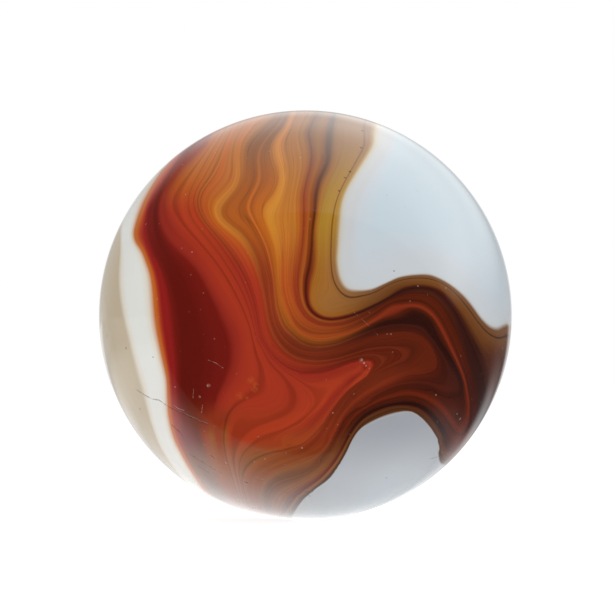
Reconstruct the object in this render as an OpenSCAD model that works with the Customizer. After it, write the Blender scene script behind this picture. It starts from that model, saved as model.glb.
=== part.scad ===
// Glass playing marble with a folded swirl of amber, rust, oxblood and mahogany glass
// in opal white. It is one solid ball, a little wider than it is tall, as hand-fed
// marbles come off their rollers. The origin is the middle of the ball, +Z is up and
// the side of the swirl that is looked at most faces -Y.

/* [Ball] */
// Width of the ball, the same along X and Y
ball_w = 16; // [10:0.5:40]
// How much less the ball measures from top to bottom
flattening = 0.12; // [0:0.02:0.6]

/* [Hidden] */

$fn = 128;
ball_r = ball_w / 2;
squash = (ball_w - flattening) / ball_w;
// One hundredth of the ball's radius: every outline of the swirl is drawn in these
percent = ball_r / 100;
// Parts that a smooth curve is cut into between two chosen points
curve_steps = 3;
// Side of the flat ground under all fields, in hundredths of the radius
ground_size = 240;
// Length of the glass layers before they are cut to the ball, in widths of the ball
past_ball = 1.1;

OPAL = [0.86, 0.88, 0.89];
COOL_OPAL = [0.75, 0.77, 0.80];
BEIGE = [0.74, 0.67, 0.57];
RUST = [0.66, 0.30, 0.12];
RED = [0.63, 0.20, 0.13];
OXBLOOD = [0.36, 0.07, 0.05];
ORANGE = [0.76, 0.42, 0.18];
AMBER = [0.68, 0.42, 0.16];
HONEY = [0.80, 0.54, 0.20];
MAHOGANY = [0.24, 0.08, 0.06];
FLAME = [0.60, 0.22, 0.12];
UMBER = [0.32, 0.14, 0.05];

// Outlines are lists of [x, z] as seen from the front, in hundredths of the radius.
// Points past 100 lie outside the ball, where the outline only closes round it.

// Opal lobe at the upper right
opal_lobe = [
    [38, 112], [35, 94], [33, 84], [25, 71], [19, 58], [16, 38], [17, 17], [25, 11], [36, 14], [47, 19],
    [58, 19], [69, 15], [79, 6], [86, -3], [93, -7], [112, -4], [118, 40], [90, 100]];

// Opal lobe at the lower right
lower_lobe = [
    [-10, -112], [-6, -94], [8, -83], [16, -72], [22, -60], [29, -54], [45, -47], [53, -47], [61, -55],
    [64, -63], [66, -72], [80, -88], [40, -115]];

// Milky band that runs down the left side
milk_band = [
    [-90, 90], [-76, 63], [-83, 47], [-84, 38], [-77, 20], [-73, -7], [-68, -34], [-66, -50], [-59, -70],
    [-52, -84], [-55, -115], [-115, -80], [-118, 40]];

// Beige glass at the left edge
beige_edge = [
    [-95, 75], [-86, 49], [-90, 20], [-88, -2], [-80, -33], [-74, -51], [-61, -75], [-60, -110], [-115, -70],
    [-118, 40]];

// Dark oxblood stream to the right of the milky band
oxblood_stream = [
    [-50, 95], [-68, 66], [-75, 49], [-72, 39], [-64, 22], [-63, -5], [-60, -31], [-50, -55], [-44, -50],
    [-38, -22], [-40, 2], [-53, 23], [-70, 43], [-70, 58], [-58, 74], [-44, 95]];

// Bright red glass in the middle, with a tongue that reaches to the right
red_heart = [
    [-68, 58], [-60, 45], [-38, 24], [-24, 0], [-12, -20], [3, -28], [32, -23], [16, -40], [2, -60],
    [-14, -70], [-34, -62], [-46, -52], [-38, -20], [-43, 4], [-55, 25], [-69, 42]];

// Amber glass that hangs from the top and sweeps under the opal lobe
amber_curtain = [
    [12, 112], [11, 84], [5, 62], [3, 38], [0, 15], [4, 3], [14, -1], [26, 1], [42, 10], [58, 12], [70, 6],
    [82, -9], [92, -22], [112, -26], [118, 40], [80, 112]];

// Mahogany glass folded back on itself round the tongue
mahogany_fold = [
    [-2, -16], [16, -13], [33, -4], [47, 2], [60, -1], [70, -17], [76, -40], [75, -54], [66, -47], [52, -39],
    [38, -42], [24, -52], [12, -72], [0, -82], [10, -62], [22, -43], [46, -29], [63, -28], [63, -19],
    [52, -10], [36, -12], [12, -20]];

// Dark glass at the right edge, between the two lobes
dark_edge = [
    [64, 8], [76, -6], [88, -22], [112, -30], [100, -70], [66, -75], [66, -62], [74, -60], [81, -46],
    [77, -28], [71, -12]];

// Streaks are lists of [x, z, width] along the middle of each one.

// Orange rim between the milky band and the oxblood stream
orange_rim = [
    [-64, 84, 3], [-74, 65, 4], [-82, 47, 6], [-82, 37, 6], [-75, 20, 6], [-71, -7, 6], [-66, -34, 5],
    [-64, -50, 4], [-57, -70, 3]];

// Honey streaks in the upper left
left_honey_streak = [
    [-28, 100, 3], [-33, 76, 5], [-33, 66, 6], [-42, 56, 7], [-42, 46, 7], [-33, 35, 6], [-25, 22, 4],
    [-19, 2, 3]];
right_honey_streak = [
    [-12, 98, 4], [-14, 82, 6], [-12, 68, 8], [-16, 50, 9], [-15, 36, 7], [-13, 10, 5], [-9, -4, 4]];

// Dark brown lines that frame the amber curtain
umber_line = [
    [12, 104, 3], [10, 84, 4], [8, 72, 4], [4, 58, 4], [3, 40, 4], [0, 18, 5], [2, 5, 4], [12, -2, 3],
    [24, 0, 3], [42, 10, 5], [58, 12, 7], [68, 5, 8], [78, -10, 9]];
edge_line = [
    [28, 94, 1], [27, 82, 1], [21, 69, 2], [15, 58, 1], [13, 36, 1], [14, 17, 1], [21, 9, 1], [36, 12, 1],
    [48, 17, 1], [60, 17, 1], [72, 10, 2], [84, -5, 2], [92, -12, 2]];

// Flame-coloured line that folds round the mahogany glass
flame_line = [
    [-12, 6, 3], [-8, -5, 3], [0, -13, 3], [10, -13, 3], [23, -8, 3], [38, -1, 3], [52, 4, 3], [62, 0, 3],
    [70, -12, 3], [76, -30, 3], [80, -43, 3], [76, -55, 3], [68, -49, 3], [56, -41, 3], [40, -39, 3],
    [27, -46, 3], [18, -60, 3], [6, -76, 3]];

// Point on a smooth curve from b to c, where a comes before them and d after them
function between(a, b, c, d, t) =
    0.5 * (2 * b + (c - a) * t + (2 * a - 5 * b + 4 * c - d) * t * t + (3 * b - a - 3 * c + d) * t * t * t);

// Smooth closed outline through its chosen points
function closed_curve(points) =
    let (n = len(points))
    [for (i = [0 : n - 1], k = [0 : curve_steps - 1])
        between(points[(i + n - 1) % n], points[i], points[(i + 1) % n], points[(i + 2) % n],
                k / curve_steps)];

// Smooth open curve through its chosen points, first and last included
function open_curve(points) =
    let (last = len(points) - 1)
    [for (i = [0 : last - 1], k = [0 : curve_steps - 1])
        between(points[max(i - 1, 0)], points[i], points[i + 1], points[min(i + 2, last)],
                k / curve_steps),
     points[last]];

// Point beside place i of a curve of [x, z, width], on the side that the sign gives
function beside(curve, i, side) =
    let (
        last = len(curve) - 1,
        run = curve[min(i + 1, last)] - curve[max(i - 1, 0)],
        run_length = norm([run[0], run[1]]),
        reach = side * curve[i][2] / 2
    )
    [curve[i][0] - reach * run[1] / run_length, curve[i][1] + reach * run[0] / run_length];

// Outline of a streak that runs along a smooth curve
function streak(points) =
    let (curve = open_curve(points), last = len(curve) - 1)
    concat([for (i = [0 : last]) beside(curve, i, 1)], [for (i = [last : -1 : 0]) beside(curve, i, -1)]);

// Colour fields of the swirl from the lowest layer to the highest
fields = [
    [RED, closed_curve(red_heart)],
    [OXBLOOD, closed_curve(oxblood_stream)],
    [HONEY, streak(left_honey_streak)],
    [HONEY, streak(right_honey_streak)],
    [AMBER, closed_curve(amber_curtain)],
    [MAHOGANY, closed_curve(mahogany_fold)],
    [MAHOGANY, closed_curve(dark_edge)],
    [FLAME, streak(flame_line)],
    [UMBER, streak(umber_line)],
    [ORANGE, streak(orange_rim)],
    [OPAL, closed_curve(opal_lobe)],
    [COOL_OPAL, closed_curve(lower_lobe)],
    [UMBER, streak(edge_line)],
    [OPAL, closed_curve(milk_band)],
    [BEIGE, closed_curve(beige_edge)]];

module ball() {
    sphere(r = ball_r);
}

// All layers above layer i, as one flat shape
module areas_above(i) {
    for (k = [i + 1 : 1 : len(fields) - 1])
        polygon(fields[k][1]);
}

// The part of layer i that no higher layer covers, as a flat shape; layer -1 is what lies round all fields
module open_area(i) {
    difference() {
        if (i < 0) square(ground_size, center = true);
        else polygon(fields[i][1]);
        areas_above(i);
    }
}

// Glass of one layer, which runs through the ball from front to back
module glass(i, colour) {
    color(colour)
        intersection() {
            sphere(r = ball_r);
            rotate([90, 0, 0])
                linear_extrude(height = past_ball * ball_w, center = true)
                    scale(percent)
                        open_area(i);
        }
}

module marble() {
    scale([1, 1, squash]) {
        glass(-1, RUST);
        for (i = [0 : len(fields) - 1])
            glass(i, fields[i][0]);
    }
}

marble();
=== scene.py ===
"""Looks of the glass marble: a ball of folded, coloured glass under a soft studio light."""
import math

import bpy
import numpy as np
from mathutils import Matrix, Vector


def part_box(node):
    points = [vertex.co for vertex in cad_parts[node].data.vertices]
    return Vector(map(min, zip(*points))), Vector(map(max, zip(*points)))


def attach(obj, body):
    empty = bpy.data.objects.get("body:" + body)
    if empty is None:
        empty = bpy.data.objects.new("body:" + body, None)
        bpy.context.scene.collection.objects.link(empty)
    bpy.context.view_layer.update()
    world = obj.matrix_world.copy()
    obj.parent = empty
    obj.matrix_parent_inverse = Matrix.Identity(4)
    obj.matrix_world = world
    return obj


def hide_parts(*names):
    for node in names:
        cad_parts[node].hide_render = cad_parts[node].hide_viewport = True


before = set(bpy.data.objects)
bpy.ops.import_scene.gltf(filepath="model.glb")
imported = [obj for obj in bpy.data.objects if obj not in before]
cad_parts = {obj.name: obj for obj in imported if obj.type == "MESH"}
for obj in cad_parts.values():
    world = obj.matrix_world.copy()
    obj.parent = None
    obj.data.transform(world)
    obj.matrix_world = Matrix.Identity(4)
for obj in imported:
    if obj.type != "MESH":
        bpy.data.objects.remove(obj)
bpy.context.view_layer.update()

# Size and place of the ball, from the frame
LOW, HIGH = (Vector(corner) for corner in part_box("marble"))
CENTRE = (LOW + HIGH) / 2
RADII = (HIGH - LOW) / 2
RADIUS = RADII.x

# The photograph's frame, and the ball's outline in it, in pixels
PHOTO_WIDTH, PHOTO_HEIGHT = 614, 599
BALL_X, BALL_Y = 305.4, 315.2
BALL_HALF_WIDTH = 206.4
PIXEL = RADIUS / BALL_HALF_WIDTH

# Camera, in metres and millimetres
CAMERA_DISTANCE = 0.3
SENSOR_WIDTH = 36.0
PIXELS_PER_SLOPE = math.sqrt(CAMERA_DISTANCE ** 2 - RADIUS ** 2) / PIXEL

# Light: the dark room in the gloss, the soft light all round, and white
ROOM_GLOSS = 0.03
SOFT_LIGHT = 0.75
WHITE = (1, 1, 1, 1)

# The white floor: its size, and its edge in front of the ball, in ball radii
FLOOR_REACH = 60
FLOOR_EDGE = -0.77


def photo_camera():
    """A level camera in front of the ball, set so that the ball lies in the frame as in the photograph."""
    data = bpy.data.cameras.new("photo_camera")
    data.sensor_width = SENSOR_WIDTH
    data.lens = PIXELS_PER_SLOPE * SENSOR_WIDTH / PHOTO_WIDTH
    data.clip_start = CAMERA_DISTANCE / 10
    data.clip_end = CAMERA_DISTANCE * 100
    camera = bpy.data.objects.new("photo_camera", data)
    pixel = CAMERA_DISTANCE / PIXELS_PER_SLOPE
    camera.location = CENTRE + Vector((
        (PHOTO_WIDTH / 2 - BALL_X) * pixel, -CAMERA_DISTANCE, (BALL_Y - PHOTO_HEIGHT / 2) * pixel))
    camera.rotation_euler = (math.pi / 2, 0, 0)
    bpy.context.scene.collection.objects.link(camera)
    bpy.context.scene.camera = camera
    return camera


class Nodes:
    """Short calls for adding nodes to one node tree; a value is a number or another node's output."""

    def __init__(self, tree):
        self.tree = tree
        tree.nodes.clear()

    def add(self, kind, inputs=None, **settings):
        """A node with its settings, and with its inputs by name or number."""
        node = self.tree.nodes.new(kind)
        for name, value in settings.items():
            setattr(node, name, value)
        for name, value in (inputs or {}).items():
            self.put(value, node.inputs[name])
        return node

    def put(self, value, socket):
        if isinstance(value, bpy.types.NodeSocket):
            self.tree.links.new(value, socket)
        else:
            socket.default_value = value

    def math(self, operation, *values):
        return self.add("ShaderNodeMath", dict(enumerate(values)), operation=operation).outputs[0]

    def vector(self, operation, *values):
        return self.add("ShaderNodeVectorMath", dict(enumerate(values)), operation=operation).outputs

    def chain(self, operation, first, *others):
        """One operation on more than two values, from the first on."""
        for other in others:
            first = self.math(operation, first, other)
        return first

    def times(self, *values):
        return self.chain("MULTIPLY", *values)

    def largest(self, *values):
        return self.chain("MAXIMUM", *values)

    def smooth(self, value, low, high, to_low=0.0, to_high=1.0):
        """A soft change from one number to another while the value goes from low to high."""
        inputs = {"Value": value, "From Min": low, "From Max": high, "To Min": to_low, "To Max": to_high}
        node = self.add("ShaderNodeMapRange", inputs, interpolation_type="SMOOTHSTEP", clamp=False)
        return node.outputs["Result"]

    def scaled(self, vector, factor):
        """A vector or colour times a number."""
        node = self.add("ShaderNodeVectorMath", {0: vector, "Scale": factor}, operation="SCALE")
        return node.outputs[0]

    def axes(self, vector):
        """The three parts of a vector."""
        return self.add("ShaderNodeSeparateXYZ", {"Vector": vector}).outputs

    def mixed(self, factor, first, second):
        """A colour between two."""
        return self.add("ShaderNodeMix", {0: factor, 6: first, 7: second}, data_type="RGBA").outputs[2]

    def glow(self, strength):
        """White light from a surface."""
        return self.add("ShaderNodeEmission", {"Color": WHITE, "Strength": strength}).outputs[0]


def world_light():
    """White all round for the camera; in the gloss, a box of light overhead in a dark room."""
    world = bpy.data.worlds.new("studio")
    bpy.context.scene.world = world
    world.use_nodes = True
    n = Nodes(world.node_tree)
    x, y, z = n.axes(n.add("ShaderNodeTexCoord").outputs["Generated"])

    # The box overhead, by how far back and to the side a ray meets a ceiling
    height = n.math("MAXIMUM", z, 0.02)
    back = n.math("DIVIDE", y, height)
    side = n.math("DIVIDE", x, height)
    front_edge = n.smooth(back, -0.60, -0.54, 0.0, n.smooth(side, 0.0, 0.4, 0.35, 0.7))
    middle = n.times(n.smooth(back, -0.52, 0.4, 0.0, 1.6), n.smooth(back, 0.8, 1.8, 1.0, 0.58))
    left_edge = n.smooth(side, -1.0, -0.35, 0.05, 1.0)
    left_part = n.smooth(side, -0.55, 0.3, n.smooth(back, 0.4, 2.0, 0.28, 0.8), 1.05)
    right_part = n.smooth(side, 0.15, 0.75, 1.0, 0.65)
    overhead = n.times(n.math("ADD", front_edge, middle), left_edge, left_part, right_part,
                       n.smooth(z, 0.02, 0.35))

    # The pale wall behind the ball: on the left, and all round close to the ball's outline
    turn = n.math("DIVIDE", x, n.math("MAXIMUM", y, 0.02))
    behind = n.times(n.smooth(z, 0.4, 0.9, 0.45, 0.0), n.smooth(y, 0.6, 0.95),
                     n.smooth(turn, -0.1, 1.2, 1.0, 0.1))
    outline = n.smooth(y, 0.94, 0.99, 0.0, 0.7)
    gloss = n.math("ADD", ROOM_GLOSS, n.largest(overhead, behind, outline))

    path = n.add("ShaderNodeLightPath").outputs
    seen = n.largest(path["Is Camera Ray"], path["Is Transmission Ray"])
    soft = n.times(n.math("SUBTRACT", 1.0, path["Is Glossy Ray"]), SOFT_LIGHT)
    unseen = n.math("ADD", n.times(path["Is Glossy Ray"], gloss), soft)
    strength = n.math("ADD", seen, n.times(n.math("SUBTRACT", 1.0, seen), unseen))
    background = n.add("ShaderNodeBackground", {"Color": WHITE, "Strength": strength})
    n.add("ShaderNodeOutputWorld", {"Surface": background.outputs[0]})


def floor_gloss(n):
    """How bright the floor shows in the ball's gloss, by the place on it in ball radii."""
    position = n.add("ShaderNodeNewGeometry").outputs["Position"]
    x, y = n.axes(n.scaled(position, 1 / RADIUS))[:2]
    away = n.math("SQRT", n.math("ADD", n.times(x, x), n.times(y, y)))
    turn = n.math("DIVIDE", x, n.math("MAXIMUM", y, 0.05))

    # A clear edge in front, from which the floor brightens towards the ball
    edge = n.smooth(y, FLOOR_EDGE - 0.02, FLOOR_EDGE + 0.02, 0.0, 0.25)
    near = n.math("ADD", edge, n.smooth(y, -0.74, -0.3, 0.0, 1.7))

    # The darker part on the right
    across = n.math("SUBTRACT", y, n.times(x, 0.6))
    far_right = n.smooth(away, 1.1, 1.8, 0.8, 0.1)
    right_part = n.times(n.smooth(across, -0.6, 0.4, 0.3, 0.8), n.smooth(away, 2.2, 5.0, 1.0, 0.4),
                         n.smooth(turn, 0.8, 1.6, 1.0, far_right))

    near = n.times(near, n.smooth(x, -0.5, 1.1, 1.0, right_part), n.smooth(away, 0.6, 1.8, 1.0, 0.6),
                   n.smooth(away, 2.5, 8.0, 1.0, 0.3), n.smooth(y, -0.1, 0.2, 1.0, 0.78))
    straight = n.smooth(n.math("ABSOLUTE", turn), 0.3, 0.55, 1.0, 0.0)
    far = n.times(n.smooth(y, 2.0, 6.0, 0.0, 0.8), straight)
    return n.math("ADD", ROOM_GLOSS, n.largest(near, far))


def floor():
    """A wide pale floor that shows white, with a soft shadow under the ball."""
    mesh = bpy.data.meshes.new("floor")
    reach = FLOOR_REACH * RADIUS
    mesh.from_pydata([(x * reach, y * reach, LOW.z) for x, y in ((-1, -1), (1, -1), (1, 1), (-1, 1))],
                     [], [(0, 1, 2, 3)])
    sheet = bpy.data.objects.new("floor", mesh)
    bpy.context.scene.collection.objects.link(sheet)
    material = bpy.data.materials.new("floor_paper")
    material.use_nodes = True
    n = Nodes(material.node_tree)

    def paper(shade, light):
        matt = n.add("ShaderNodeBsdfDiffuse", {"Color": (shade, shade, shade, 1)}).outputs[0]
        return n.add("ShaderNodeAddShader", {0: matt, 1: n.glow(light)}).outputs[0]

    path = n.add("ShaderNodeLightPath").outputs
    plain = n.add("ShaderNodeMixShader", {0: path["Is Camera Ray"], 1: paper(0.9, 0.12), 2: paper(0.3, 0.9)})
    shader = n.add("ShaderNodeMixShader", {
        0: path["Is Glossy Ray"], 1: plain.outputs[0], 2: n.glow(floor_gloss(n))})
    n.add("ShaderNodeOutputMaterial", {"Surface": shader.outputs[0]})
    mesh.materials.append(material)


def softbox(name, place, turn, width, depth, strength):
    """A large lamp, in ball radii, that lights softly and isn't seen in the gloss."""
    lamp = bpy.data.lights.new(name, "AREA")
    lamp.shape = "RECTANGLE"
    lamp.size = width * RADIUS
    lamp.size_y = depth * RADIUS
    lamp.energy = strength * math.pi * lamp.size * lamp.size_y
    light = bpy.data.objects.new(name, lamp)
    light.location = CENTRE + Vector(place) * RADIUS
    light.rotation_euler = turn
    light.visible_glossy = False
    bpy.context.scene.collection.objects.link(light)


# Lines that follow the streaks, in the photograph's pixels; each has the level of the fold that it marks
GUIDES = [
    (121, [(123, 200), (122, 212), (121, 230), (121, 250), (120, 280), (123, 308), (129, 335), (136, 363),
           (144, 392), (151, 420), (160, 445), (173, 466), (190, 486)]),
    (143, [(161, 170), (154, 180), (150, 186), (146, 193), (142, 200.5), (138.5, 209), (135, 220),
           (132.5, 232), (134, 242), (140, 252), (144, 262), (148, 275), (150, 290), (151, 305), (153, 325),
           (157, 345), (161, 362), (165, 380), (166, 400), (167, 415), (170, 430), (174, 442), (179, 452),
           (186, 465), (195, 479), (203, 491)]),
    (158, [(177, 158), (165.5, 175), (156.5, 191), (150.5, 206), (148, 221), (148.5, 235), (152.5, 250),
           (159, 264), (165, 280), (169, 297), (172, 318), (174, 338), (176, 360), (177, 380), (178, 400),
           (181, 420), (187, 440), (195, 458), (204, 473), (213, 488), (218, 497)]),
    (190, [(203, 143), (190, 156), (178.5, 169), (169, 183), (162, 197), (159.5, 211), (161.5, 225),
           (167.5, 238), (177, 250), (189, 262), (199, 275), (207, 290), (214, 304), (221, 320), (227, 335),
           (230, 350), (229, 365), (224, 380), (217, 395), (213, 410), (212, 425), (213, 440), (216, 456),
           (221, 472), (227, 487), (233, 502)]),
    (215, [(215, 140), (205, 155), (195, 170), (186, 185), (181, 198), (181, 210), (186, 222), (196, 235),
           (207, 248), (218, 262), (228, 277), (237, 293), (244, 308), (250, 324), (254, 340), (259, 355),
           (264, 367), (268, 380), (268, 391), (260, 398), (247, 402), (236, 408), (229, 417), (226, 428),
           (225, 440), (227, 455), (231, 470), (236, 487), (241, 504)]),
    (222, [(262, 347), (270, 362), (284, 377), (293, 391), (294, 403), (287, 413), (271, 420), (253, 427),
           (241, 437), (235, 452), (235, 468), (239, 485)]),
    (228, [(271, 357), (285, 371), (300, 381), (313, 390), (318, 399), (313, 409), (300, 421), (280, 432),
           (262, 438), (248, 448), (240, 460), (239, 474)]),
    (232, [(232, 128), (224, 145), (217, 162), (208, 178), (200, 190), (197, 202), (200, 214), (208, 226),
           (219, 239), (229, 252), (238, 266), (246, 281), (252, 297), (256, 313), (259, 330), (265, 345),
           (275, 358), (288, 368), (303, 373), (320, 372), (336, 368), (350, 363), (363, 360), (371, 361),
           (373, 366), (368, 375), (358, 383), (348, 391), (339, 401), (331, 412), (323, 424), (313, 435),
           (302, 444), (286, 449), (268, 453), (254, 459), (245, 468), (242, 480), (245, 494), (250, 508)]),
    (231.4, [(300, 376.5), (320, 375.5), (340, 371), (356, 366.5), (366, 364.5), (368, 367.5), (362, 374),
             (352, 382.5), (342, 391.5), (333, 401.5), (325, 412), (315, 424), (303, 435), (287, 442)]),
    (229.8, [(308, 382), (325, 381), (340, 377), (349, 374), (343, 382), (332, 393), (324, 404), (314, 415),
             (300, 427)]),
    (238.5, [(362, 357.5), (370, 358), (376, 361), (376.5, 365), (373, 370)]),
    (243, [(366, 354.5), (376, 355), (382, 358.5), (382.5, 363), (377, 368.5)]),
    (248.5, [(381, 350.5), (390, 349.5), (396.5, 353), (396.5, 358), (390, 363.5)]),
    (257, [(381, 376), (367, 386), (355, 396), (344.5, 408), (336, 421), (328, 435)]),
    (252, [(250, 124), (240, 140), (237, 155), (237, 172), (234, 184), (226, 194), (218, 203), (216, 212),
           (220, 221), (229, 229), (239, 237), (247, 247), (254, 260), (259, 274), (263, 290), (266, 306),
           (269, 322), (275, 337), (285, 350), (298, 358), (315, 361), (335, 359), (352, 354), (368, 349),
           (385, 347), (400, 348), (407, 352), (405, 359), (395, 364), (380, 371), (366, 380), (354, 390),
           (344, 402), (335, 415), (328, 428), (320, 441), (309, 451), (296, 457), (282, 462), (269, 468),
           (258, 476), (253, 487), (254, 499), (258, 511)]),
    (262, [(272, 120), (258, 133), (248, 146), (246, 160), (246, 176), (241, 190), (233, 202), (230, 211),
           (235, 219), (244, 227), (252, 238), (259, 251), (264, 265), (268, 280), (270, 297), (272, 312),
           (277, 328), (286, 341), (299, 350), (315, 353), (335, 350), (355, 343), (372, 337), (390, 333),
           (407, 332), (420, 336), (430, 345), (436, 358), (435, 368), (425, 373), (408, 375), (392, 381),
           (377, 388), (363, 396), (351, 406), (342, 418), (335, 431), (328, 445), (318, 456), (304, 464),
           (290, 469), (276, 475), (266, 483), (262, 493), (264, 505), (267, 514)]),
    (270, [(290, 334), (301, 343), (317, 347), (335, 345), (353, 338), (370, 331), (388, 326), (405, 325),
           (420, 328), (428, 335), (435, 344), (442, 355), (448, 367), (451, 379), (451, 387), (446, 390),
           (438, 387), (428, 383), (414, 382), (400, 384), (387, 388.5), (374, 395), (363, 402), (352, 410),
           (343, 420), (336, 433), (329, 447), (320, 458)]),
    (278, [(286, 128), (277, 142), (277, 155), (281, 170), (281, 183), (276, 197), (269, 208), (268, 219),
           (272, 232), (276, 246), (278, 262), (279, 280), (281, 297), (285, 312), (292, 326), (303, 336),
           (318, 340), (334, 338), (350, 333), (366, 325.5), (382.5, 316.5), (397.5, 309.5), (411, 306),
           (423, 308.5), (434, 317.5), (442.5, 331.5), (450, 347), (457.5, 363), (463.5, 378), (466.5, 393),
           (468, 408), (466, 422), (460, 431), (456, 429), (450, 420), (441, 409), (431.5, 401.5),
           (420.5, 396), (408, 394), (396, 396), (382, 400), (368, 407), (356.5, 415), (348, 425.5),
           (341, 438), (333, 452), (323, 464), (311, 474), (297, 481), (284, 486), (274, 494), (270, 504),
           (273, 514)]),
    (297, [(308, 120), (303, 133), (306, 150), (306, 165), (303, 180), (300, 195), (300, 212), (300, 232),
           (298, 252), (296, 272), (296, 290), (300, 306), (309, 318), (323, 324), (340, 324), (356, 319),
           (372, 311), (387, 302), (400, 297), (414, 295), (427, 297), (438, 305), (447, 318), (455, 334),
           (462, 352), (469, 372), (474, 392), (476, 412), (472, 430), (462, 441), (452, 436), (444, 424),
           (434, 412), (421, 403), (406, 400), (391, 402), (377, 406), (365, 412), (355, 421), (347, 432),
           (340, 446), (332, 459), (322, 471), (309, 481), (296, 489), (286, 497), (281, 507)]),
    (310, [(330, 118), (327, 130), (325, 145), (325, 157), (322, 168), (317, 180), (314, 195), (313, 212),
           (311, 230), (310, 248), (308, 265), (305, 280), (305, 297), (309, 309), (318, 317), (330, 320),
           (345, 318), (360, 313), (375, 306), (390, 298), (405, 291), (420, 289), (434, 292), (446, 302),
           (456, 317), (464, 334), (472, 352), (479, 372), (483, 392), (483, 412), (476, 432), (464, 448),
           (452, 450), (446, 438), (438, 424), (428, 412), (416, 405), (402, 404), (387, 406), (374, 411),
           (363, 418), (354, 428), (347, 440), (340, 453), (332, 465), (321, 477), (307, 487), (296, 496),
           (289, 505)]),
    (331, [(364, 128), (364, 145), (359, 156), (350, 172), (341, 189), (335, 206), (332, 225), (331, 245),
           (331, 262), (333, 278), (339, 290), (349, 297), (361, 296), (375, 292), (390, 284), (404, 279.5),
           (418, 278), (432, 279.5), (445, 285), (456, 294), (467, 307), (478, 322), (488, 333), (498, 338),
           (507, 336)]),
    (331, [(450, 458), (445, 460), (442, 457), (440.5, 451), (440, 445), (437, 435), (430, 424), (420, 414),
           (408, 409), (395, 409), (380, 414), (366, 421), (357, 430), (350, 441), (343, 455), (335, 468),
           (324, 480), (310, 491), (299, 500), (291, 511)]),
    (340, [(378, 120), (375, 132), (374, 143), (368, 155), (357, 172), (347, 189), (342, 203), (340, 220),
           (338, 245), (337, 262), (340, 279), (347, 289), (358, 291), (372, 289.5), (386, 283.5),
           (400, 277.5), (418, 275), (432, 276), (447, 283), (460, 293), (470, 304), (481, 319),
           (490, 327.5), (498, 329.5), (505, 326), (511, 326)]),
    (340, [(450, 463), (444.5, 464), (441, 462), (439.5, 457), (439.5, 450), (438, 440), (431, 428),
           (422, 418), (412, 411.5), (400, 411.5), (386, 415), (372, 421), (360, 429), (352, 440),
           (346, 452), (338, 465), (328, 478), (314, 489), (302, 499), (293, 511), (289, 519)]),
    (360, [(395, 122), (392, 145), (378, 170), (364, 195), (356, 225), (354, 255), (361, 272), (376, 270),
           (400, 258), (430, 255), (455, 266), (474, 286), (489, 307), (505, 312)]),
    (360, [(440, 474), (430, 466), (424, 456), (419, 441), (409, 430), (392, 433), (375, 442), (364, 458),
           (352, 475), (336, 492), (318, 503), (304, 513)]),
]
# Single points that hold the level between the lines
GUIDE_POINTS = [
    (420, [(440, 190), (470, 235), (420, 150)]),
    (375, [(395, 470), (370, 495)]),
    (104, [(104, 300), (120, 390)]),
    (207, [(243, 386)]),
    (229.6, [(360, 368.5), (355, 372)]),
    (258, [(424, 358), (418, 366)]),
    (272.5, [(457, 398), (456, 411), (443, 398), (452, 405), (432, 391)]),
]


# Colours of the glass, as red, green and blue from 0 to 255
PALETTE = {
    "white": (238, 238, 233), "cream": (234, 227, 212), "beige": (203, 187, 161), "sand": (214, 200, 176),
    "peach": (222, 186, 162), "apricot": (202, 110, 42), "carrot": (184, 64, 34),
    "vermilion": (178, 57, 34), "rust": (166, 50, 34), "brick": (150, 42, 30), "crimson": (150, 31, 28),
    "claret": (120, 26, 18), "oxblood": (105, 22, 14), "copper": (192, 88, 36), "rufous": (174, 76, 36),
    "honey": (199, 106, 34), "wheat": (202, 118, 42), "caramel": (181, 94, 34), "gold": (207, 127, 48),
    "amber": (213, 142, 50), "sienna": (162, 68, 33), "russet": (153, 56, 30), "chestnut": (134, 48, 25),
    "cocoa": (116, 39, 17), "brown": (99, 35, 16), "bark": (82, 30, 14), "mahogany": (68, 26, 17),
    "ebony": (57, 25, 19), "umber": (113, 46, 18), "tan": (176, 110, 38), "khaki": (184, 138, 50),
    "buff": (200, 172, 128), "walnut": (122, 70, 36), "flame": (135, 47, 24), "dusk": (140, 84, 34),
    "fawn": (160, 104, 38), "smoke": (104, 66, 33), "ochre": (164, 88, 36), "pearl": (214, 216, 217),
    "opal": (208, 223, 231), "mist": (213, 221, 228), "painted_shade_grey": (171, 174, 181), "painted_floor_light_grey": (214, 220, 226),
    "shell": (214, 212, 204), "soot": (46, 18, 13), "peat": (90, 50, 26), "mocha": (143, 54, 27),
    "bronze": (190, 115, 42), "drab": (150, 100, 36), "clay": (172, 104, 68), "taupe": (140, 86, 52),
    "flare": (205, 84, 50), "wine": (122, 23, 18), "hazel": (123, 46, 24), "sepia": (100, 33, 14),
    "olive": (116, 75, 48), "tawny": (160, 98, 52), "hide": (160, 112, 66), "liver": (84, 42, 34),
    "saddle": (106, 60, 30), "plum": (60, 20, 18),
}

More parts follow.
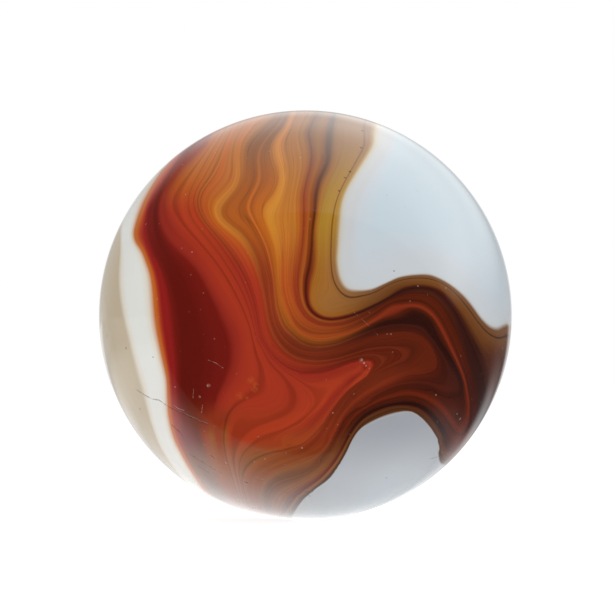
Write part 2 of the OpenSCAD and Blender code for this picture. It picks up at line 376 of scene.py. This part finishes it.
# Colours across the fold from its red side to its tan side, at six places along the streaks
CREST = [
    (145, "apricot"), (154, "flare"), (163, "rust"), (170, "chestnut"), (184, "russet"), (192, "russet"),
    (198, "sienna"), (204, "caramel"), (210, "honey"), (216, "wheat"), (221, "wheat"), (233, "wheat"),
    (237, "honey"), (243, "bronze"), (250, "wheat"), (256, "wheat"), (259, "tan"), (263, "dusk"),
    (273, "dusk"), (276, "tan"), (279, "gold"), (283, "tan"), (291, "tan"), (297, "fawn"), (301, "walnut"),
    (306, "drab"), (309, "dusk"), (311, "smoke"), (316, "drab"), (335, "drab"),
]
SHOULDER = [
    (145, "apricot"), (147, "apricot"), (150.5, "carrot"), (153.5, "crimson"), (158, "wine"),
    (168, "claret"), (173, "oxblood"), (179, "oxblood"), (185, "claret"), (193, "brick"), (203, "brick"),
    (211, "vermilion"), (218, "carrot"), (228, "carrot"), (232, "rufous"), (241, "copper"), (248, "honey"),
    (251.5, "gold"), (255, "gold"), (258, "caramel"), (271, "caramel"), (275, "honey"), (279, "amber"),
    (283, "gold"), (292, "gold"), (297, "caramel"), (301, "sienna"), (306, "caramel"), (311.5, "umber"),
    (315.5, "tan"), (319, "khaki"), (335, "khaki"),
]
WAIST = [
    (145, "apricot"), (148.5, "carrot"), (151.5, "crimson"), (155.5, "crimson"), (159, "claret"),
    (163, "oxblood"), (174, "oxblood"), (184, "claret"), (189, "claret"), (193, "brick"), (198, "rust"),
    (206, "vermilion"), (218, "vermilion"), (230, "rust"), (235, "rust"), (240, "vermilion"),
    (247, "vermilion"), (252, "sienna"), (257, "russet"), (269, "sienna"), (274, "caramel"), (278, "honey"),
    (281, "copper"), (290, "copper"), (296, "russet"), (301, "sienna"), (306, "caramel"),
    (308.5, "chestnut"), (311, "bark"), (315, "chestnut"), (319, "tan"), (335, "hide"),
]
SWEEP = [
    (145, "apricot"), (151, "rust"), (160, "claret"), (168, "umber"), (188, "russet"), (214, "russet"),
    (221, "carrot"), (229, "carrot"), (232, "brick"), (235.5, "sepia"), (238.5, "sepia"), (242.5, "hazel"),
    (245, "brown"), (246.5, "cocoa"), (248.5, "sepia"), (251.5, "hazel"), (253, "bark"), (256, "brown"),
    (261, "brown"), (268, "mahogany"), (273.5, "soot"), (276.3, "bark"), (278, "flame"), (279.2, "flame"),
    (281.8, "brown"), (286, "bark"), (292, "brown"), (299, "bark"), (306, "ebony"), (314.5, "ebony"),
    (320.5, "saddle"), (336, "olive"),
]
UNDER = [
    (145, "apricot"), (150, "rust"), (156, "claret"), (164, "claret"), (170, "umber"), (178, "sienna"),
    (186, "ochre"), (192, "ochre"), (198, "sienna"), (208, "sienna"), (215, "ochre"), (221, "carrot"),
    (227, "carrot"), (231, "rufous"), (234, "sienna"), (238, "mocha"), (264, "mocha"), (268, "cocoa"),
    (271, "bark"), (276, "cocoa"), (279, "brown"), (284, "bark"), (296, "bark"), (302, "mahogany"),
    (305, "soot"), (312, "soot"), (317, "bark"), (321, "peat"), (335, "peat"),
]
FOOT = [
    (145, "apricot"), (150, "dusk"), (158, "walnut"), (170, "taupe"), (185, "ochre"), (206, "ochre"),
    (215, "clay"), (224, "clay"), (232, "tawny"), (240, "ochre"), (257, "ochre"), (261, "tawny"),
    (266, "taupe"), (271, "walnut"), (275, "taupe"), (281, "tawny"), (290, "tawny"), (296, "ochre"),
    (301, "taupe"), (306, "chestnut"), (311, "umber"), (316, "tawny"), (322, "tawny"), (327, "taupe"),
    (332, "smoke"), (337, "peat"),
]
# The pale left side, and the opal glass beyond the tan edge
LEFT_SIDE = [
    (95, "cream"), (101, "sand"), (106, "beige"), (119, "beige"), (122, "cream"), (125.5, "white"),
    (137, "white"), (141, "cream"), (143.5, "peach"), (145.5, "apricot"), (150, "apricot"),
]
OPAL = [
    (334, "buff"), (338, "buff"), (341, "sand"), (344, "shell"), (348, "pearl"), (355, "pearl"),
    (362, "mist"), (372, "opal"), (450, "opal"),
]
# How strongly fine streaks show, from 0 to 1, by level
STREAKING = [
    (145, 0.0), (158, 0.15), (206, 0.15), (216, 0.4), (228, 0.5), (236, 0.8), (245, 1.0), (300, 1.0),
    (315, 0.9), (320, 0.4), (335, 0.3),
]
# Thin lines: the level of the middle, half the width in levels, and how dark; a bright one is below 0
THIN_LINES = [
    (213, 2.0, 0.24), (221.5, 2.0, 0.22), (228, 0.9, 0.2), (232.6, 1.3, 0.25), (241, 1.2, 0.1),
    (270, 1.1, -0.3), (287, 0.8, 0.12), (294, 0.8, 0.15), (301, 0.9, 0.2), (312, 1.4, 0.25),
]
# Parts at the fold's lower right that turn to another colour: how much, the levels between which each begins
# and between which it ends, and where it begins to the right and ends upwards, in ball radii
TINTED_PARTS = [
    ("liver", 0.75, (310, 318), (360, 365), (0.8, 0.88), (-0.22, -0.1)),
    ("plum", 0.6, (281, 285), (299, 305), (0.62, 0.76), (-0.35, -0.15)),
    ("flame", 0.6, (270, 278), (360, 365), (0.64, 0.74), (-0.62, -0.52)),
]
# Streaks: how many there are in a level, how they drift along the fold, and their detail
BROAD_STREAKS = (0.22, 1.0, 2.0)
THIN_STREAKS = (0.6, 1.5, 2.0)
FINE_STREAKS = (0.3, 0.8, 1.0)
# Levels of the fold's red edge, of the dark line along its tan side, and of the opal's soft edge
RED_EDGE = (145, 150)
BORDER_LINE = 331
OPAL_EDGE = (334.5, 341.5)
# Places on the photograph with their step along the streaks: crest, shoulder, waist, sweep, under, foot
STEPS = [
    (0, [(170, 160), (215, 135), (260, 125), (310, 125), (360, 130)]),
    (1, [(130, 210), (165, 215), (210, 215), (260, 215), (320, 215)]),
    (2, [(125, 300), (160, 290), (220, 290), (280, 290), (320, 297), (170, 360), (240, 350), (270, 395)]),
    (2.3, [(335, 325), (200, 410), (250, 415)]),
    (2.7, [(360, 315), (330, 352), (290, 352), (335, 375), (310, 415)]),
    (3, [(395, 300), (448, 340), (480, 370), (430, 370), (400, 350), (370, 345)]),
    (3.5, [(468, 425), (455, 405), (385, 380), (425, 392)]),
    (4, [(440, 425), (400, 402), (370, 405), (352, 415), (330, 430), (430, 405)]),
    (4.3, [(343, 438), (315, 448)]),
    (4.6, [(190, 450), (240, 440), (270, 452), (332, 458)]),
    (5, [(180, 480), (215, 480), (260, 495), (300, 475), (318, 478), (270, 468)]),
]

# The turn of the back's swirl against the front's, in radians
TWIST = 0.9
# Steps along the edge of each of the ball's six patches
PATCH_STEPS = 128
# The sheets through the guide lines: pixels between points, give at the points, and points worked at a time
CURVE_STEP = 5.0
LEVEL_SOFTNESS = 1e-5
STEP_SOFTNESS = 0.02
SMALLEST_GAP = 1e-20
PART_LENGTH = 4000
# Wear: the soft edges of spots and lines as shares of their size, the dust's spacing and the marks' depth in
# pixels, and how strongly dark and pale marks colour the glass
SPOT_SOFTNESS = 0.5
LINE_SOFTNESS = 0.6
DUST_SPACING = 11
MARK_DEPTH = 0.5
DARK_STRENGTH = 0.7
PALE_STRENGTH = 0.45
# Glass: how rough it is where it is whole and where it is worn, and how it bends light
WHOLE_ROUGHNESS = 0.06
WORN_ROUGHNESS = 0.5
GLASS_IOR = 1.5

# Wear on the front, in the photograph's pixels: lines with half their width, and spots with their radius
DARK_LINES = [
    (0.55, [(137, 390), (143, 394), (152, 399), (159, 400), (166, 405), (174, 409), (183, 413), (190, 416.5),
           (196, 419), (200, 421.5), (207, 423.5)]),
    (0.5, [(172, 425), (177, 429), (182, 434), (184, 438)]),
    (0.4, [(190, 454), (198, 459), (208, 465), (221, 472.5)]),
    (0.3, [(197, 465), (207, 471), (212, 474)]),
    (0.6, [(211, 455.5), (215, 457.5)]),
    (0.4, [(430, 459), (437, 457), (443, 453), (450, 449)]),
]
PALE_LINES = [
    (0.3, [(174, 405.5), (178, 408.5), (184, 410.5)]),
    (0.12, [(354, 312), (366, 323), (378, 335)]),
    (0.25, [(208, 360), (216, 363), (223, 368)]),
    (0.25, [(202.5, 405), (201.5, 413)]),
    (0.2, [(193.5, 389), (193, 398)]),
]
PALE_SPOTS = [
    (1.8, (208.5, 385.5)), (1.8, (361, 360)), (1.2, (364, 363)), (1.0, (366, 366)), (0.9, (254, 461.5)),
    (1.3, (226, 463)), (0.8, (354, 394)), (0.9, (333, 413)), (0.9, (302, 448)), (0.8, (436, 395)),
    (0.7, (387, 334)), (0.7, (391, 334)), (0.8, (301, 157)), (0.9, (310, 219)), (0.7, (418, 286)),
    (0.7, (446, 288)), (0.7, (410, 301)), (0.7, (146, 224)), (0.7, (192, 252)), (0.7, (157, 299)),
    (0.8, (216, 152)), (0.6, (185.5, 194.5)), (0.7, (265, 459)), (0.8, (286, 453)), (1.2, (460, 419)),
    (1.2, (199.5, 397)), (0.8, (175, 387)), (0.9, (457, 414)),
]
DARK_SPOTS = [
    (1.4, (107, 336)), (1.1, (126, 348)), (0.8, (153, 357)), (1.1, (140, 409)), (1.4, (247, 482)),
    (1.2, (262, 480)), (0.9, (256, 478.5)), (1.0, (221, 500)), (1.2, (253, 507.5)), (0.8, (260, 508)),
    (1.3, (306, 491)), (1.1, (310, 496)), (0.9, (386, 478)), (0.8, (394, 271)), (0.7, (387, 195)),
    (1.1, (217, 483)), (1.4, (363, 131)), (1.3, (361, 148)), (1.3, (350, 172)), (1.1, (345, 178)),
    (1.1, (339, 191)), (0.8, (212, 464)), (0.9, (284, 465)), (0.8, (315, 209)),
]
CLOUDY_SPOTS = [
    (3.4, (251, 380)), (3.0, (255.5, 384)), (3.2, (254.5, 389)), (3.6, (240, 396)), (1.8, (247, 397.5)),
]


def through(line):
    """Points close together on a smooth curve through the line's points."""
    line = np.array(line, float)
    if len(line) < 4:
        return line
    ends = np.vstack([2 * line[0] - line[1], line, 2 * line[-1] - line[-2]])
    points = []
    for before, start, stop, after in zip(ends, ends[1:], ends[2:], ends[3:]):
        count = max(1, round(float(np.linalg.norm(stop - start)) / CURVE_STEP))
        for t in np.arange(count) / count:
            points.append(0.5 * (2 * start + (stop - before) * t
                                 + (2 * before - 5 * start + 4 * stop - after) * t * t
                                 + (3 * start - before - 3 * stop + after) * t ** 3))
    return np.array(points + [line[-1]])


def bend(distance_squared):
    """How a thin plate bends at a distance from a point that holds it."""
    return 0.5 * distance_squared * np.log(np.maximum(distance_squared, SMALLEST_GAP))


class Sheet:
    """A smooth sheet over the photograph's plane that takes the given values on the given lines."""

    def __init__(self, lines, softness):
        parts = [(value, through(line)) for value, line in lines]
        self.points = self.scaled(np.vstack([points for value, points in parts]))
        values = np.concatenate([np.full(len(points), float(value)) for value, points in parts])
        plane = np.column_stack([np.ones(len(self.points)), self.points])
        gaps = ((self.points[:, None] - self.points[None]) ** 2).sum(2)
        block = bend(gaps) + softness * np.eye(len(self.points))
        matrix = np.block([[block, plane], [plane.T, np.zeros((3, 3))]])
        self.weights = np.linalg.solve(matrix, np.append(values, np.zeros(3)))

    @staticmethod
    def scaled(pixels):
        """Pixels as ball radii from the ball's middle."""
        return (pixels - (BALL_X, BALL_Y)) / BALL_HALF_WIDTH

    def at(self, pixels):
        """The sheet's values at pixels, a part of them at a time."""
        places = self.scaled(pixels)
        values = []
        for start in range(0, len(places), PART_LENGTH):
            part = places[start:start + PART_LENGTH]
            gaps = ((part[:, None] - self.points[None]) ** 2).sum(2)
            values.append(bend(gaps) @ self.weights[:-3] + self.weights[-3] + part @ self.weights[-2:])
        return np.concatenate(values)


def ball_mesh():
    """The ball as six curved square patches that meet edge to edge."""
    across = np.tan(np.linspace(-1, 1, PATCH_STEPS + 1) * math.pi / 4)
    a, b = (grid.ravel() for grid in np.meshgrid(across, across))
    one = np.ones_like(a)
    patches = [(one, a, b), (-one, b, a), (b, one, a), (a, -one, b), (a, b, one), (b, a, -one)]
    corners = np.vstack([np.column_stack(patch) for patch in patches])
    corners /= np.linalg.norm(corners, axis=1)[:, None]
    found = np.unique(np.round(corners, 7), axis=0, return_index=True, return_inverse=True)
    first, same = found[1:]
    patch_size = len(a)
    index = np.arange(patch_size).reshape(PATCH_STEPS + 1, PATCH_STEPS + 1)
    squares = np.stack([index[:-1, :-1], index[:-1, 1:], index[1:, 1:], index[1:, :-1]], axis=-1)
    faces = np.vstack([squares.reshape(-1, 4) + number * patch_size for number in range(len(patches))])
    faces = same.ravel()[faces]
    mesh = bpy.data.meshes.new("swirled_ball")
    mesh.from_pydata((corners[first] * np.array(RADII) + np.array(CENTRE)).tolist(), [], faces.tolist())
    mesh.polygons.foreach_set("use_smooth", np.ones(len(mesh.polygons), bool))
    mesh.update()
    return mesh


def photo_place(points):
    """Where points of the ball lie in the photograph; the back repeats the front, twisted round."""
    x, y, z = ((points - np.array(CENTRE)) / np.array(RADII)).T
    depth = np.clip(y, 0, 1)
    turn = TWIST * depth * depth * (3 - 2 * depth)
    x, z = x * np.cos(turn) - z * np.sin(turn), x * np.sin(turn) + z * np.cos(turn)
    front = np.column_stack([x, -np.abs(y), z]) * np.array(RADII) + np.array(CENTRE)
    x, y, z = (front - np.array(camera.location)).T
    return np.column_stack([PHOTO_WIDTH / 2 + PIXELS_PER_SLOPE * x / y,
                            PHOTO_HEIGHT / 2 - PIXELS_PER_SLOPE * z / y])


def on_ball(x, y):
    """The point of the ball's front that shows at a pixel of the photograph."""
    ray = Vector(((x - PHOTO_WIDTH / 2) / PIXELS_PER_SLOPE, 1, (PHOTO_HEIGHT / 2 - y) / PIXELS_PER_SLOPE))
    start = Vector((a - c) / r for a, c, r in zip(camera.location, CENTRE, RADII))
    ray = Vector(a / r for a, r in zip(ray, RADII))
    half = start.dot(ray) / ray.dot(ray)
    reach = -half - math.sqrt(max(half * half - (start.dot(start) - 1) / ray.dot(ray), 0))
    return Vector(c + r * (a + reach * d) for a, d, c, r in zip(start, ray, CENTRE, RADII))


def swirled_ball():
    """The ball, which carries its level across the fold and its step along the streaks at every point."""
    mesh = ball_mesh()
    points = np.empty(len(mesh.vertices) * 3)
    mesh.vertices.foreach_get("co", points)
    pixels = photo_place(points.reshape(-1, 3))
    level = Sheet(GUIDES + GUIDE_POINTS, LEVEL_SOFTNESS)
    step = Sheet([(value, [place]) for value, places in STEPS for place in places], STEP_SOFTNESS)
    for name, sheet in (("level", level), ("step", step)):
        values = sheet.at(pixels).astype(np.float32)
        mesh.attributes.new(name, "FLOAT", "POINT").data.foreach_set("value", values)
    ball = bpy.data.objects.new("swirled_ball", mesh)
    bpy.context.scene.collection.objects.link(ball)
    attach(ball, "root")
    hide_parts("marble")
    return ball


def linear(name):
    """A palette colour as the shader takes it."""
    def channel(value):
        value /= 255
        return value / 12.92 if value <= 0.04045 else ((value + 0.055) / 1.055) ** 2.4
    return tuple(channel(value) for value in PALETTE[name]) + (1.0,)


class GlassNodes(Nodes):
    """Nodes for the glass, with the ball's level and step, and the place on it in metres and in radii."""

    def __init__(self, tree):
        super().__init__(tree)
        self.level = self.add("ShaderNodeAttribute", attribute_name="level").outputs["Fac"]
        self.step = self.add("ShaderNodeAttribute", attribute_name="step").outputs["Fac"]
        self.place = self.add("ShaderNodeTexCoord").outputs["Object"]
        self.x, self.y, self.z = self.axes(self.scaled(self.place, 1 / RADIUS))

    def laid_along(self, level, stops):
        """Colours laid along the level of the fold."""
        low, high = stops[0][0], stops[-1][0]
        inputs = {"Value": level, "From Min": low, "From Max": high}
        place = self.add("ShaderNodeMapRange", inputs).outputs["Result"]
        node = self.add("ShaderNodeValToRGB", {"Fac": place})
        elements = node.color_ramp.elements
        elements.remove(elements[1])
        elements[0].color = stops[0][1]
        for value, colour in stops[1:]:
            elements.new((value - low) / (high - low)).color = colour
        return node.outputs["Color"]

    def ramp(self, level, stops):
        """Palette colours along the level."""
        return self.laid_along(level, [(value, linear(name)) for value, name in stops])

    def curve(self, level, stops):
        """Strengths along the level."""
        return self.laid_along(level, [(value, (share, share, share, 1)) for value, share in stops])

    def streaks(self, frequency, drift, detail):
        """Noise that is long along the streaks and short across them."""
        along = self.add("ShaderNodeCombineXYZ", {
            "X": self.times(self.level, frequency),
            "Y": self.times(self.x, drift),
            "Z": self.times(self.z, drift)}).outputs[0]
        inputs = {"Vector": along, "Scale": 1.0, "Detail": detail, "Roughness": 0.6}
        return self.add("ShaderNodeTexNoise", inputs).outputs["Fac"]

    def spots(self, marks):
        """One inside round marks on the glass, and nothing outside them."""
        found = 0.0
        for radius, pixel in marks:
            gap = self.vector("DISTANCE", self.place, on_ball(*pixel))["Value"]
            inner = radius * PIXEL * (1 - SPOT_SOFTNESS)
            outer = radius * PIXEL * (1 + SPOT_SOFTNESS)
            found = self.largest(found, self.smooth(gap, inner, outer, 1.0, 0.0))
        return found

    def lines(self, marks):
        """One along thin marks on the glass, and nothing beside them."""
        found = 0.0
        for half_width, pixels in marks:
            corners = [on_ball(*pixel) for pixel in pixels]
            for start, stop in zip(corners, corners[1:]):
                along = stop - start
                gap = self.vector("SUBTRACT", self.place, start)[0]
                share = self.vector("DOT_PRODUCT", gap, along / along.dot(along))["Value"]
                share = self.math("MINIMUM", self.largest(share, 0.0), 1.0)
                off = self.vector("DISTANCE", gap, self.scaled(along, share))["Value"]
                inner = half_width * PIXEL * (1 - LINE_SOFTNESS)
                outer = half_width * PIXEL * (1 + LINE_SOFTNESS)
                found = self.largest(found, self.smooth(off, inner, outer, 1.0, 0.0))
        return found

    def dust(self, share):
        """Tiny specks strewn over the glass, in a share of the space."""
        cell = self.add("ShaderNodeTexVoronoi", {"Vector": self.place, "Scale": 1 / (DUST_SPACING * PIXEL)})
        speck = self.smooth(cell.outputs["Distance"], 0.5 / DUST_SPACING, 1.1 / DUST_SPACING, 1.0, 0.0)
        chosen = self.add("ShaderNodeSeparateColor", {"Color": cell.outputs["Color"]}).outputs[0]
        return self.times(speck, self.smooth(chosen, 1 - share - 0.05, 1 - share + 0.05))


def streaked(n, colour):
    """A colour with streaks and thin lines along the fold."""
    # Soft bands, thin dark streaks where the noise is high, and fine lines where it crosses its middle
    broad = n.smooth(n.streaks(*BROAD_STREAKS), 0.3, 0.7, -0.12, 0.12)
    thin = n.smooth(n.streaks(*THIN_STREAKS), 0.58, 0.70, 0.0, -0.22)
    crossing = n.math("ABSOLUTE", n.math("SUBTRACT", n.streaks(*FINE_STREAKS), 0.5))
    fine = n.smooth(crossing, 0.0, 0.02, -0.2, 0.0)
    streaks = n.math("ADD", fine, n.math("ADD", broad, thin))
    strength = n.math("ADD", 1.0, n.times(n.curve(n.level, STREAKING), streaks))
    for middle, half_width, depth in THIN_LINES:
        gap = n.math("ABSOLUTE", n.math("SUBTRACT", n.level, middle))
        strength = n.times(strength, n.smooth(gap, 0.2 * half_width, half_width, 1 - depth, 1.0))
    return n.scaled(colour, strength)


def fold_colour(n):
    """The colours of the fold from step to step, with its tinted parts."""
    colour = n.ramp(n.level, CREST)
    for start, stops in enumerate((SHOULDER, WAIST, SWEEP, UNDER, FOOT)):
        colour = n.mixed(n.smooth(n.step, start, start + 1), colour, n.ramp(n.level, stops))
    colour = streaked(n, colour)
    for name, share, begins, ends, right, up in TINTED_PARTS:
        part = n.times(n.smooth(n.level, *begins), n.smooth(n.level, *ends, 1.0, 0.0),
                       n.smooth(n.x, *right), n.smooth(n.z, *up, share, 0.0))
        colour = n.mixed(part, colour, linear(name))
    return colour


def opal_colour(n, rim):
    """The opal glass, pale blue in the upper lobe and grey in the lower one; the lower lobe carries painted
    shade towards its top and painted light from the floor towards its bottom.
    """
    upper = n.mixed(n.smooth(n.step, 1.5, 2.7, 0.0, 0.7), n.ramp(rim, OPAL), linear("mist"))
    # Painted shade and light: the lower lobe's grey is darker towards its top and paler towards its bottom,
    # where the floor lights it
    lower = n.mixed(n.smooth(n.z, -0.82, -0.48), linear("painted_floor_light_grey"), linear("painted_shade_grey"))
    share = n.times(n.smooth(n.z, -0.95, -0.7), n.smooth(n.step, 3.0, 4.0),
                    n.smooth(rim, 337.0, 343.0, 0.0, 0.9))
    return n.mixed(share, upper, lower)


def glass_colour(n):
    """The pale left side, the fold, its dark border line, and the opal beyond its tan edge."""
    colour = n.mixed(n.smooth(n.level, *RED_EDGE), n.ramp(n.level, LEFT_SIDE), fold_colour(n))
    border = n.times(n.smooth(n.level, BORDER_LINE - 1.4, BORDER_LINE),
                     n.smooth(n.level, BORDER_LINE + 0.2, BORDER_LINE + 1.8, 1.0, 0.0), 0.7)
    colour = n.mixed(border, colour, n.mixed(n.smooth(n.step, 1.2, 2.5), linear("umber"), linear("soot")))
    # The tan edge narrows down the fold, and again at its foot
    rim = n.math("SUBTRACT", n.level, n.smooth(n.step, 1.2, 3.0, 0.0, 3.5))
    rim = n.math("SUBTRACT", rim, n.smooth(n.step, 4.3, 5.1, 0.0, 4.5))
    return n.mixed(n.smooth(rim, *OPAL_EDGE), colour, opal_colour(n, rim))


def swirl_glass():
    """Glass whose colours run along the folded levels, with its wear."""
    material = bpy.data.materials.new("swirl_glass")
    material.use_nodes = True
    n = GlassNodes(material.node_tree)
    inputs = {"Vector": n.place, "Scale": 0.35 / PIXEL, "Detail": 3.0}
    patchy = n.add("ShaderNodeTexNoise", inputs).outputs["Fac"]
    worn = n.smooth(patchy, 0.4, 0.58, 0.25, 1.0)
    cloudy = n.times(n.spots(CLOUDY_SPOTS), n.smooth(patchy, 0.35, 0.65, 0.1, 0.55))
    low_dust = n.times(n.dust(0.4), n.smooth(n.z, -0.9, -0.3, 1.0, 0.1), 0.6)
    dark = n.times(n.largest(n.lines(DARK_LINES), n.spots(DARK_SPOTS), low_dust), worn)
    pale = n.times(n.largest(n.lines(PALE_LINES), n.spots(PALE_SPOTS), n.times(n.dust(0.35), 0.5)), worn)

    colour = n.mixed(cloudy, glass_colour(n), linear("copper"))
    colour = n.mixed(n.times(dark, DARK_STRENGTH), colour, linear("mahogany"))
    colour = n.mixed(n.times(pale, PALE_STRENGTH), colour, linear("peach"))
    marks = n.largest(dark, pale)
    inputs = {"Strength": 0.6, "Distance": MARK_DEPTH * PIXEL, "Height": marks}
    bump = n.add("ShaderNodeBump", inputs, invert=True)
    shader = n.add("ShaderNodeBsdfPrincipled", {
        "Base Color": colour, "Roughness": n.smooth(marks, 0.0, 1.0, WHOLE_ROUGHNESS, WORN_ROUGHNESS),
        "IOR": GLASS_IOR, "Normal": bump.outputs["Normal"]})
    n.add("ShaderNodeOutputMaterial", {"Surface": shader.outputs[0]})
    return material


camera = photo_camera()
world_light()
floor()
softbox("overhead_softbox", place=(0, -6, 22), turn=(-0.25, 0, 0), width=40, depth=30, strength=0.3)
softbox("left_softbox", place=(-24, 6, 5), turn=(0, -1.4, 0), width=10, depth=24, strength=0.38)
softbox("right_softbox", place=(24, 6, 5), turn=(0, 1.4, 0), width=10, depth=24, strength=0.52)
bpy.context.scene.view_settings.view_transform = "Standard"

ball = swirled_ball()
ball.data.materials.append(swirl_glass())
